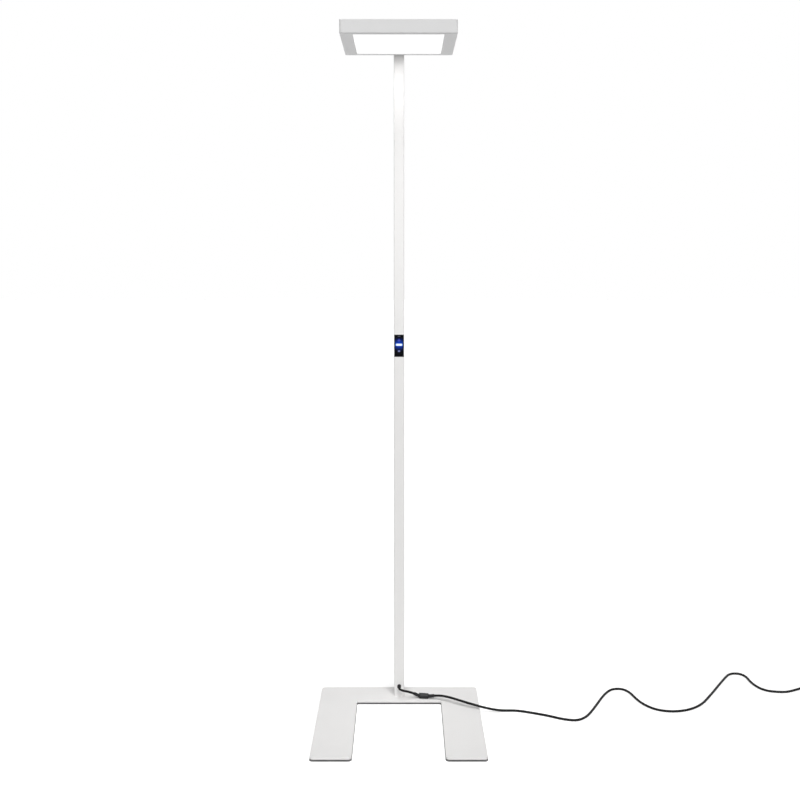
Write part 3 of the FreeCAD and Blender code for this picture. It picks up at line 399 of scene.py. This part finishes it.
@dataclass(frozen=True)
class LitWindow:
    """A window of clear or tinted plastic that glows, brightest in its middle; on the sensor lens this
    glow is painted light.
    """

    name: str
    colour: Colour
    glow: Colour
    fringe: Colour
    middle: tuple[float, float, float]
    half_width: float
    half_height: float
    soft: float = 0.35
    strength: float = 1.0
    roughness: float = 0.2
    rougher: float = 0.1
    frost: float = 0.8 * MM
    frost_shade: float = 0.95
    gloss: float = 0.1

    def make(self) -> bpy.types.Material:
        """Make the finish.

        Returns:
            The material.
        """
        recipe = Recipe(self.name)
        frost = recipe.noise(self.frost, detail=2.0)
        recipe.tint(recipe.between(frost, 0.0, 1.0), self.colour,
                    shade(self.colour, self.frost_shade))
        recipe.roughen(frost, self.roughness, self.roughness + self.rougher)
        recipe.shader.inputs["Specular IOR Level"].default_value = self.gloss
        distance = recipe.distance(self.middle, (1 / self.half_width, 0.0, 1 / self.half_height))
        fade = recipe.between(distance, 1.0, 0.0, 1 - self.soft, 1.0)
        mix = recipe.add("Mix", data_type="RGBA")
        mix.inputs["A"].default_value = (*self.fringe, 1.0)
        mix.inputs["B"].default_value = (*self.glow, 1.0)
        recipe.join(fade, mix.inputs["Factor"])
        recipe.join(mix.outputs["Result"], recipe.shader.inputs["Emission Color"])
        recipe.shader.inputs["Emission Strength"].default_value = self.strength
        return recipe.material


@dataclass(frozen=True)
class OpalPanel:
    """The opal sheet over the light guide: an even light, a little weaker along its rim."""

    name: str
    colour: Colour
    glow: Colour
    strength: float
    low: Vector
    high: Vector
    rim: float = 12 * MM
    rim_light: float = 0.9
    roughness: float = 0.5
    rougher: float = 0.1
    grain: float = 0.6 * MM
    grain_shade: float = 0.97

    def make(self) -> bpy.types.Material:
        """Make the finish.

        Returns:
            The material.
        """
        recipe = Recipe(self.name)
        grain = recipe.noise(self.grain, detail=2.0)
        recipe.tint(recipe.between(grain, 0.0, 1.0), self.colour,
                    shade(self.colour, self.grain_shade))
        recipe.roughen(grain, self.roughness, self.roughness + self.rougher)
        axes = recipe.add("SeparateXYZ")
        recipe.join(recipe.place(), axes.inputs["Vector"])
        levels = []
        for axis, low, high in (("X", self.low.x, self.high.x), ("Y", self.low.y, self.high.y)):
            offset = recipe.add("Math", {1: (low + high) / 2}, operation="SUBTRACT")
            recipe.join(axes.outputs[axis], offset.inputs[0])
            distance = recipe.add("Math", operation="ABSOLUTE")
            recipe.join(offset.outputs["Value"], distance.inputs[0])
            half = (high - low) / 2
            fade = recipe.add("MapRange", {"From Min": half - self.rim, "From Max": half,
                                           "To Min": 1.0, "To Max": self.rim_light})
            recipe.join(distance.outputs["Value"], fade.inputs["Value"])
            levels.append(fade.outputs["Result"])
        both = recipe.add("Math", operation="MULTIPLY")
        recipe.join(levels[0], both.inputs[0])
        recipe.join(levels[1], both.inputs[1])
        level = recipe.add("Math", {1: self.strength}, operation="MULTIPLY")
        recipe.join(both.outputs["Value"], level.inputs[0])
        recipe.glow(self.glow, level.outputs["Value"])
        return recipe.material


def dress(material: bpy.types.Material, *nodes: str) -> None:
    """Give CAD nodes a finish in place of the frame's plain one.

    Args:
        material: the finish.
        nodes: the nodes' names.
    """
    for name in nodes:
        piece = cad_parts[name]
        for slot in piece.material_slots:
            slot.material = material
        if not piece.material_slots:
            piece.data.materials.append(material)
        LOG.info("%s dressed in %s", name, material.name)


def new_piece(name: str, mesh: bmesh.types.BMesh, material: bpy.types.Material,
              body: str) -> bpy.types.Object:
    """Turn a bmesh into a piece of the lamp.

    Args:
        name: the piece's name.
        mesh: its shape, in the frame's metres.
        material: its finish.
        body: the body that it rides on.

    Returns:
        The piece.
    """
    data = bpy.data.meshes.new(name)
    mesh.to_mesh(data)
    mesh.free()
    data.materials.append(material)
    piece = bpy.data.objects.new(name, data)
    bpy.context.scene.collection.objects.link(piece)
    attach(piece, body)
    LOG.info("%s rides on %s", name, body)
    return piece


class Body(Enum):
    """The frame's rigid bodies."""

    LAMP = "lamp"
    UP_KEY = "up_key"
    DOWN_KEY = "down_key"


@dataclass
class Stand:
    """The base plate, the stem and what holds them together."""

    paint: PowderCoat = PowderCoat("white_powder_coat", linear(238, 237, 236))
    trim: MouldedPlastic = MouldedPlastic("white_moulding", linear(234, 233, 231))
    pads: MouldedPlastic = MouldedPlastic("pad_rubber", linear(38, 38, 39), 0.75)
    screws: WorkedMetal = WorkedMetal("screw_steel", linear(196, 198, 200))
    inner_steel: WorkedMetal = WorkedMetal("plated_steel", linear(205, 207, 209), 0.38)

    def build(self) -> None:
        """Dress every node of the stand."""
        dress(self.paint.make(), "base_plate", "lower_stem", "upper_stem")
        dress(self.trim.make(), "stem_cap")
        dress(self.pads.make(), "glide_pads", "lead_grommet")
        dress(self.screws.make(), "foot_screws", "stem_screws", "head_screws", "cover_screws",
              "board_screws", "driver_screws", "plate_screws", "rail_studs", "rail_nuts")
        dress(self.inner_steel.make(), "foot_block", "stem_joiner", "head_nut_block",
              "head_backing", "cover_posts")


@dataclass
class Head:
    """The flat head: its painted tray and cover, the lit panel and what is behind it."""

    paint: PowderCoat = PowderCoat("white_head_paint", linear(238, 238, 238))
    panel_glow: Colour = WHITE
    panel_strength: float = 0.56
    spacer: MouldedPlastic = MouldedPlastic("dark_spacer", linear(70, 70, 72), 0.5)
    guide: MouldedPlastic = MouldedPlastic("clear_guide", linear(235, 240, 242), 0.1)
    film: MouldedPlastic = MouldedPlastic("white_film", linear(245, 245, 245), 0.4)
    board: MouldedPlastic = MouldedPlastic("led_board", linear(240, 240, 236), 0.4)
    chips: MouldedPlastic = MouldedPlastic("led_phosphor", linear(244, 226, 140), 0.35)
    rails: WorkedMetal = WorkedMetal("drawn_aluminium", linear(222, 223, 225), 0.35)
    case: MouldedPlastic = MouldedPlastic("driver_case", linear(228, 227, 222), 0.5)
    connector: MouldedPlastic = MouldedPlastic("connector_plastic", linear(232, 230, 220), 0.45)
    sheath: MouldedPlastic = MouldedPlastic("lead_sheath", linear(40, 40, 42), 0.55)
    wire: MouldedPlastic = MouldedPlastic("red_wire", linear(170, 30, 26), 0.5)

    def build(self) -> None:
        """Dress every node of the head."""
        dress(self.paint.make(), "head_shell", "top_cover")
        low, high = (Vector(corner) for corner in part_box("diffuser"))
        panel = OpalPanel("opal_panel", linear(248, 248, 248), self.panel_glow,
                          self.panel_strength, low, high)
        dress(panel.make(), "diffuser")
        dress(self.spacer.make(), "head_spacer")
        dress(self.guide.make(), "light_guide")
        dress(self.film.make(), "reflector_sheet")
        dress(self.board.make(), "led_strips")
        dress(self.chips.make(), "led_chips")
        dress(self.rails.make(), "led_rails", "back_plate")
        dress(self.case.make(), "driver")
        dress(self.connector.make(), "terminal_block", "board_connectors")
        dress(self.sheath.make(), "driver_links", "lower_lead", "upper_lead")
        dress(self.wire.make(), "led_leads")


class Mark(Enum):
    """The sign on a key: brighter or dimmer."""

    PLUS = "plus"
    MINUS = "minus"


@dataclass
class ControlUnit:
    """The black unit in the stem: its face, the lit bar, the two keys and their marks."""

    plus_length: float = 8.6 * MM
    minus_length: float = 6.6 * MM
    plus_width: float = 2.6 * MM
    minus_width: float = 4.8 * MM
    mark_rise: float = 0.08 * MM
    mark_sink: float = 0.3 * MM
    mark_bevel: float = 0.04 * MM
    moulding: MouldedPlastic = MouldedPlastic("black_moulding", linear(14, 14, 18), 0.4, gloss=0.12)
    board: MouldedPlastic = MouldedPlastic("board_green", linear(24, 92, 58), 0.35)
    brass: WorkedMetal = WorkedMetal("brass", linear(205, 176, 110), 0.3)
    chips: MouldedPlastic = MouldedPlastic("chip_body", linear(225, 222, 205), 0.35)
    switch: MouldedPlastic = MouldedPlastic("switch_body", linear(60, 60, 64), 0.45)

    def mark(self, kind: Mark, key: str) -> bmesh.types.BMesh:
        """Return the shape of a key's sign, let into the key's front.

        Args:
            kind: which sign.
            key: the CAD node that carries it.

        Returns:
            The sign's mesh.
        """
        low, high = (Vector(corner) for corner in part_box(key))
        centre = (low + high) / 2
        if kind is Mark.PLUS:
            arm, half = self.plus_length / 2, self.plus_width / 2
            outline = [(-arm, -half), (-half, -half), (-half, -arm), (half, -arm), (half, -half),
                       (arm, -half), (arm, half), (half, half), (half, arm), (-half, arm),
                       (-half, half), (-arm, half)]
        else:
            arm, half = self.minus_length / 2, self.minus_width / 2
            outline = [(-arm, -half), (arm, -half), (arm, half), (-arm, half)]
        mesh = bmesh.new()
        front = low.y - self.mark_rise
        corners = [mesh.verts.new((centre.x + x, front, centre.z + z)) for x, z in outline]
        face = mesh.faces.new(corners)
        walls = bmesh.ops.extrude_face_region(mesh, geom=[face])
        moved = [item for item in walls["geom"] if isinstance(item, bmesh.types.BMVert)]
        bmesh.ops.translate(mesh, verts=moved, vec=(0.0, self.mark_rise + self.mark_sink, 0.0))
        rim = [edge for edge in mesh.edges
               if all(vert.co.y < front + SAME_PLANE for vert in edge.verts)]
        bmesh.ops.bevel(mesh, geom=rim, offset=self.mark_bevel, segments=2, profile=0.5,
                        affect="EDGES", material=-1)
        bmesh.ops.recalc_face_normals(mesh, faces=mesh.faces)
        return mesh

    def window(self, node: str, name: str, colour: Colour, glow: Colour, fringe: Colour,
               half_width: float, half_height: float, soft: float = 0.35) -> bpy.types.Material:
        """Return the finish of a glowing window in the middle of a node; on the sensor lens the glow
        is painted light.

        Args:
            node: the CAD node that the light lies in the middle of.
            name: the finish's name.
            colour: the plastic's colour.
            glow: the light's colour in its middle.
            fringe: the light's colour at its edge.
            half_width: half the lit width.
            half_height: half the lit height.
            soft: the share of it that the edge takes.

        Returns:
            The material.
        """
        low, high = (Vector(corner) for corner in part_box(node))
        return LitWindow(name, colour, glow, fringe, tuple((low + high) / 2),
                         half_width, half_height, soft).make()

    def build(self) -> None:
        """Dress the unit's nodes and add the keys' signs."""
        low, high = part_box("light_bar")
        # The face and both keys get a painted blue glow around the light bar.
        face = BlackWithPaintedGlow("black_face_painted_glow", linear(9, 9, 14), linear(14, 72, 204),
                            (low[2] + high[2]) / 2)
        dress(self.moulding.make(), "control_housing")
        dress(face.make(), "control_face", "key_up", "key_down")
        bar_light = self.window("light_bar", "blue_light_bar", linear(40, 70, 120),
                                linear(246, 255, 255), linear(20, 130, 245),
                                half_width=10.4 * MM, half_height=8 * MM, soft=0.3)
        dress(bar_light, "light_bar")
        # The sensor lens is no lamp: its glow, brightest in the middle, is painted light.
        lens_painted_glow = self.window("sensor_lens", "smoke_lens_painted_glow", linear(70, 72, 76),
                                 linear(92, 94, 110), linear(20, 20, 26),
                                 half_width=5 * MM, half_height=5 * MM, soft=0.6)
        dress(lens_painted_glow, "sensor_lens")
        dress(self.board.make(), "control_board")
        dress(self.brass.make(), "board_spacers")
        dress(self.chips.make(), "board_chips")
        dress(self.switch.make(), "key_switches", "plunger_up", "plunger_down")
        up_light = self.window("key_up", "up_mark_light", linear(30, 30, 60),
                               linear(60, 70, 176), linear(38, 42, 120),
                               half_width=6 * MM, half_height=6 * MM)
        down_light = self.window("key_down", "down_mark_light", linear(30, 30, 40),
                                 linear(112, 120, 166), linear(56, 62, 98),
                                 half_width=6 * MM, half_height=5 * MM)
        new_piece("key_up_mark", self.mark(Mark.PLUS, "key_up"), up_light,
                  Body.UP_KEY.value)
        new_piece("key_down_mark", self.mark(Mark.MINUS, "key_down"), down_light,
                  Body.DOWN_KEY.value)


def millimetres(*points: tuple[float, float, float]) -> list[Vector]:
    """Turn points written in millimetres into metres."""
    return [Vector(point) * MM for point in points]


@dataclass
class Coil:
    """The put-away length: in along the lower layer, up in a half turn, out along the upper one."""

    start: Vector
    heading: Vector
    outer_radius: float = 47 * MM
    pitch: float = 9.2 * MM
    layer_height: float = 7.6 * MM
    half_turns_in: int = 5
    half_turns_out: int = 4
    points_per_half_turn: int = 8
    straight: float = 7 * MM

    def route(self) -> tuple[list[Vector], Vector]:
        """Work out the turns.

        Returns:
            The turns' points, clockwise as seen from above, and the point where they end.
        """
        right = self.heading.cross(Vector((0, 0, 1)))
        entry = self.start + self.heading * self.straight
        middle = entry + right * self.outer_radius
        step = math.pi / self.points_per_half_turn
        widen = 1 / math.cos(step / 2)
        half_turns = self.half_turns_in + 1 + self.half_turns_out
        points = []
        for index in range(half_turns * self.points_per_half_turn):
            turn = (index + 0.5) / self.points_per_half_turn
            inward = min(turn, self.half_turns_in)
            outward = max(turn - self.half_turns_in - 1, 0)
            radius = self.outer_radius - (inward - outward) * self.pitch / 2
            climb = min(max(turn - self.half_turns_in, 0), 1)
            lift = (climb * climb * (3 - 2 * climb)) * self.layer_height
            angle = turn * math.pi
            way = self.heading * math.sin(angle) - right * math.cos(angle)
            points.append(middle + way * radius * widen + Vector((0, 0, lift)))
        last_radius = (self.outer_radius
                       - (self.half_turns_in - self.half_turns_out) * self.pitch / 2)
        end = middle - right * last_radius + self.heading * self.straight
        end.z = self.start.z + self.layer_height
        return points, end


@dataclass
class Wiring:
    """The black cord: gland, tail, in-line coupler, supply cord with its coil, and plug."""

    diameter: float = 7 * MM
    tail_length: float = 67 * MM
    supply_length: float = 2.874
    steps_per_run: int = 8
    ring_steps: int = 4
    curve_order: int = 3
    tail_route: list[Vector] = field(default_factory=lambda: millimetres(
        (0, 159, 42.5), (0, 144.6, 42.5), (12, 135.6, 41), (29, 142.4, 35.2),
        (46, 149.4, 26.6)))
    supply_route: list[Vector] = field(default_factory=lambda: millimetres(
        (105.1, 143.3, 22.3), (122, 138.5, 25.3), (145, 125.4, 26.9), (176, 103, 26.7),
        (206, 84.6, 24.4), (240, 69.6, 20.5), (272, 68.9, 13), (305, 77, 4.5), (349, 81, 3.5),
        (391, 65, 3.5), (435, 46, 3.5), (480, 19, 3.5), (519, 10, 3.5), (549, 35, 3.5), (573, 77, 3.5),
        (599, 130, 3.5), (621, 176, 3.5), (640, 210, 3.5), (664, 240, 3.5), (696, 241, 3.5),
        (714, 215, 3.5), (722, 170, 3.5), (736, 124, 3.5), (768, 82, 3.5), (819, 71, 3.5),
        (871, 88, 3.5), (915, 127, 3.5), (948, 177, 3.5), (983, 232, 3.5), (1012, 279, 3.5),
        (1042, 326, 3.5), (1066, 361, 3.5), (1096, 366, 3.5), (1115, 342, 3.5), (1114, 284, 3.5),
        (1134, 226, 3.5), (1191, 213, 3.5), (1225, 227, 3.5), (1263, 248, 4.6), (1293, 266, 4.6)))
    # Ahead of the coil's end, aside from it, and above the floor, in millimetres.
    end_places: tuple[tuple[float, float, float], ...] = (
        (22, 0, 12.2), (45, 6, 8.5), (64, 20, 7), (72, 42, 7))
    cable: MouldedPlastic = MouldedPlastic("cord_sheath", linear(10, 10, 11), 0.5,
                                           grain=1.2 * MM, relief=0.02 * MM, gloss=0.15)
    coupler: MouldedPlastic = MouldedPlastic("coupler_moulding", linear(24, 24, 26), 0.45,
                                             gloss=0.3)
    gland: MouldedPlastic = MouldedPlastic("gland_moulding", linear(14, 14, 15), 0.4, gloss=0.5)
    plug: MouldedPlastic = MouldedPlastic("plug_moulding", linear(28, 28, 30), 0.45)
    pins: WorkedMetal = WorkedMetal("pin_brass", linear(214, 200, 160), 0.22)
    tie: MouldedPlastic = MouldedPlastic("tie_strap", linear(34, 34, 36), 0.7)

    def tube(self, name: str, route: list[Vector], material: bpy.types.Material) -> bpy.types.Object:
        """Make a cord along a smooth line.

        Args:
            name: the cord's name.
            route: the line's control points.
            material: its finish.

        Returns:
            The cord's curve object.
        """
        data = bpy.data.curves.new(name, "CURVE")
        data.dimensions = "3D"
        data.bevel_depth = self.diameter / 2
        data.bevel_resolution = self.ring_steps
        data.use_fill_caps = True
        spline = data.splines.new("NURBS")
        spline.points.add(len(route) - 1)
        for point, place in zip(spline.points, route):
            point.co = (*place, 1.0)
        spline.order_u = self.curve_order
        spline.use_endpoint_u = True
        spline.resolution_u = self.steps_per_run
        data.materials.append(material)
        cord = bpy.data.objects.new(name, data)
        bpy.context.scene.collection.objects.link(cord)
        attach(cord, Body.LAMP.value)
        LOG.info("%s has %d points", name, len(route))
        return cord

    def supply_line(self) -> list[Vector]:
        """Work out the supply cord's whole line.

        Returns:
            The points of the free stretch, the coil and the end stretch.
        """
        start = self.supply_route[-1]
        heading = (start - self.supply_route[-2]).normalized()
        turns, end = Coil(start, heading).route()
        right = heading.cross(Vector((0, 0, 1)))
        last = []
        for ahead, aside, height in self.end_places:
            place = end + (heading * ahead + right * aside) * MM
            place.z = height * MM
            last.append(place)
        return self.supply_route + turns + [end] + last

    def build(self) -> None:
        """Lay the two cords and dress what is on them."""
        sheath = self.cable.make()
        dress(self.gland.make(), "cord_gland")
        dress(self.coupler.make(), "coupler_plug", "coupler_socket")
        dress(self.plug.make(), "mains_plug")
        dress(self.pins.make(), "plug_pins")
        dress(self.tie.make(), "coil_tie")
        tail = self.tube("lamp_tail_cord", self.tail_route, sheath)
        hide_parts("cord_tail")
        supply = self.tube("mains_supply_cord", self.supply_line(), sheath)
        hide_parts("supply_cord", "cord_coil", "cord_end")


@dataclass
class Studio:
    """The plain white studio: floor, world, lights and the camera."""

    floor_size: float = 60.0
    floor_roughness: float = 0.9
    floor_seen: Colour = WHITE
    floor_bounce: Colour = (0.72, 0.72, 0.72)
    floor_lift: float = 0.36
    # Painted shadow under the base plate: the sheet's dark colour, its height over the floor, and how
    # far it reaches past the rim.
    shade: Colour = (0.4, 0.4, 0.4)
    shade_height: float = 0.02 * MM
    shade_reach: float = 1.7 * MM
    world_light: float = 0.08
    camera_place: tuple[float, float, float] = (0.0105, -2.99854, 1.350189)
    camera_pitch: float = 0.097
    focal_pixels: float = 1074.346
    picture_pixels: float = 800.0
    axis_column: float = 402.6
    axis_row: float = 360.0
    sensor: float = 36.0
    farthest_seen: float = 100.0
    sun_strength: float = 2.6
    sun_width: float = math.radians(40)
    sun_way: tuple[float, float, float] = (-0.08, 0.643, -0.766)
    panel_lamp_size: tuple[float, float] = (0.22, 0.27)
    panel_drop: float = 4 * MM
    panel_lamps: tuple[tuple[str, float, float], ...] = (
        ("panel_wash", 0.56, math.radians(134)), ("panel_beam", 0.68, math.radians(60)))

    def floor_recipe(self, name: str) -> Recipe:
        """Start a matte floor material that mirrors nothing.

        Args:
            name: the material's name.

        Returns:
            The recipe.
        """
        recipe = Recipe(name)
        recipe.shader.inputs["Roughness"].default_value = self.floor_roughness
        recipe.shader.inputs["Specular IOR Level"].default_value = 0.0
        return recipe

    def lay(self, name: str, mesh: bmesh.types.BMesh, material: bpy.types.Material) -> None:
        """Lay a piece of the stage.

        Args:
            name: the piece's name.
            mesh: its shape.
            material: its finish.
        """
        data = bpy.data.meshes.new(name)
        mesh.to_mesh(data)
        mesh.free()
        data.materials.append(material)
        piece = bpy.data.objects.new(name, data)
        bpy.context.scene.collection.objects.link(piece)
        LOG.info("%s laid", name)

    def floor(self) -> None:
        """Lay the pale floor, which keeps the lamp's shadow."""
        mesh = bmesh.new()
        bmesh.ops.create_grid(mesh, x_segments=1, y_segments=1, size=self.floor_size / 2)
        recipe = self.floor_recipe("floor_white")
        seen = seen_directly(recipe.tree)
        recipe.tint(seen, self.floor_bounce, self.floor_seen)
        lift = recipe.add("Math", {1: self.floor_lift}, operation="MULTIPLY")
        recipe.join(seen, lift.inputs[0])
        recipe.glow(WHITE, lift.outputs["Value"])
        self.lay("floor", mesh, recipe.material)

    def painted_shadow_floor(self) -> None:
        """Lay a darker floor sheet under the base plate, reaching a little past its rim: a painted
        shadow that keeps the gap below the rim dark and draws a dark line along the plate's edges.
        """
        mesh = bmesh.new()
        mesh.from_mesh(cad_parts["base_plate"].data)
        bmesh.ops.remove_doubles(mesh, verts=mesh.verts, dist=self.shade_height)
        mesh.normal_update()
        for vert in mesh.verts:
            outward = Vector((vert.normal.x, vert.normal.y, 0.0)).normalized()
            vert.co += outward * self.shade_reach
            vert.co.z = self.shade_height
        others = [face for face in mesh.faces if face.normal.z > FACING_DOWN]
        bmesh.ops.delete(mesh, geom=others, context="FACES")
        recipe = self.floor_recipe("floor_painted_shadow")
        # Painted shadow: a plain colour darker than the floor's own, with none of the floor's lift for
        # camera rays.
        recipe.shader.inputs["Base Color"].default_value = (*self.shade, 1.0)
        self.lay("painted_shadow_floor", mesh, recipe.material)

    def world(self) -> None:
        """Fill the room with even light, and show it white."""
        world = bpy.data.worlds.new("studio")
        world.use_nodes = True
        bpy.context.scene.world = world
        tree = world.node_tree
        light = tree.nodes["Background"]
        light.inputs["Color"].default_value = (*WHITE, 1.0)
        light.inputs["Strength"].default_value = self.world_light
        white = tree.nodes.new("ShaderNodeBackground")
        white.inputs["Color"].default_value = (*WHITE, 1.0)
        white.inputs["Strength"].default_value = 1.0
        mix = tree.nodes.new("ShaderNodeMixShader")
        tree.links.new(seen_directly(tree), mix.inputs["Fac"])
        tree.links.new(light.outputs["Background"], mix.inputs[1])
        tree.links.new(white.outputs["Background"], mix.inputs[2])
        tree.links.new(mix.outputs["Shader"], tree.nodes["World Output"].inputs["Surface"])

    def lamp(self, name: str, place: tuple[float, float, float],
             target: tuple[float, float, float], power: float, spread: float) -> None:
        """Hang one soft light of the panel's size.

        Args:
            name: the light's name.
            place: where it hangs.
            target: what it faces.
            power: its power in watts.
            spread: the angle that it shines over.
        """
        data = bpy.data.lights.new(name, "AREA")
        data.shape = "RECTANGLE"
        data.size, data.size_y = self.panel_lamp_size
        data.energy = power
        data.spread = spread
        light = bpy.data.objects.new(name, data)
        light.location = place
        way = Vector(target) - Vector(place)
        light.rotation_euler = way.to_track_quat("-Z", "Y").to_euler()
        light.visible_camera = False
        bpy.context.scene.collection.objects.link(light)

    def sun(self) -> None:
        """Light everything evenly from the front, with the soft shadows of a wide light."""
        data = bpy.data.lights.new("front_light", "SUN")
        data.energy = self.sun_strength
        data.angle = self.sun_width
        light = bpy.data.objects.new("front_light", data)
        light.rotation_euler = Vector(self.sun_way).to_track_quat("-Z", "Y").to_euler()
        bpy.context.scene.collection.objects.link(light)

    def camera(self) -> None:
        """Set the camera where the photograph was taken from."""
        data = bpy.data.cameras.new("photo_camera")
        data.sensor_fit = "HORIZONTAL"
        data.sensor_width = self.sensor
        data.lens = self.focal_pixels * self.sensor / self.picture_pixels
        data.shift_x = (self.picture_pixels / 2 - self.axis_column) / self.picture_pixels
        data.shift_y = (self.axis_row - self.picture_pixels / 2) / self.picture_pixels
        data.clip_end = self.farthest_seen
        camera = bpy.data.objects.new("photo_camera", data)
        camera.location = self.camera_place
        camera.rotation_euler = (math.pi / 2 - self.camera_pitch, 0.0, 0.0)
        bpy.context.scene.collection.objects.link(camera)
        bpy.context.scene.camera = camera

    def build(self) -> None:
        """Set up the whole studio."""
        self.floor()
        self.painted_shadow_floor()
        self.world()
        self.camera()
        self.sun()
        low, high = (Vector(corner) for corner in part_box("diffuser"))
        place = ((low.x + high.x) / 2, (low.y + high.y) / 2, low.z - self.panel_drop)
        for name, power, spread in self.panel_lamps:
            self.lamp(name, place, (place[0], place[1], 0.0), power, spread)
        bpy.context.scene.view_settings.view_transform = "Standard"


def main() -> None:
    """Build the lamp's looks in order, from the camera and the cords to the small marks."""
    logging.basicConfig(level=logging.INFO)
    Studio().build()
    Wiring().build()
    Stand().build()
    Head().build()
    ControlUnit().build()


if __name__ == "__main__":
    main()
